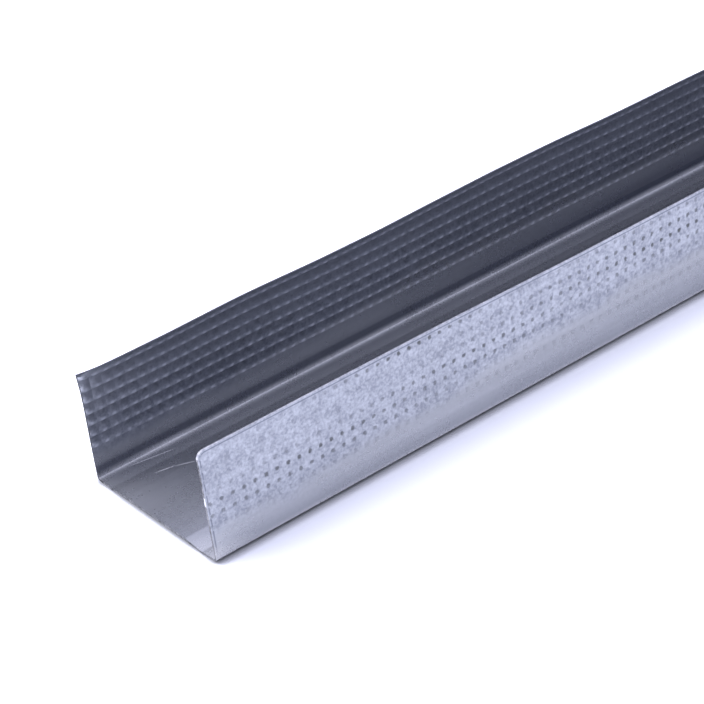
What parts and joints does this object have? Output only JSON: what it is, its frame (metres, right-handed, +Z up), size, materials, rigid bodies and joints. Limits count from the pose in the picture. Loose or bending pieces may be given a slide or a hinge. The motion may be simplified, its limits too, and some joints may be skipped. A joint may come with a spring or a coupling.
{
  "type": "drywall track",
  "caption": "Galvanised steel U-channel track with knurled flanges and a shallowly grooved web, fixed to a floor or ceiling to hold the ends of partition studs.",
  "frame": {"origin": "middle of the track's length and width, on the floor that the web's two grooves stand on", "axes": "+X along the track, +Y across it, +Z up from the web towards the open side"},
  "size_m": [3, 0.05, 0.0305],
  "materials": {
    "galvanised_steel": "hot-dip galvanised, dull, with fine spangle"
  },
  "bodies": {
    "root": {"drywall_track": "galvanised_steel"}
  },
  "joints": []
}
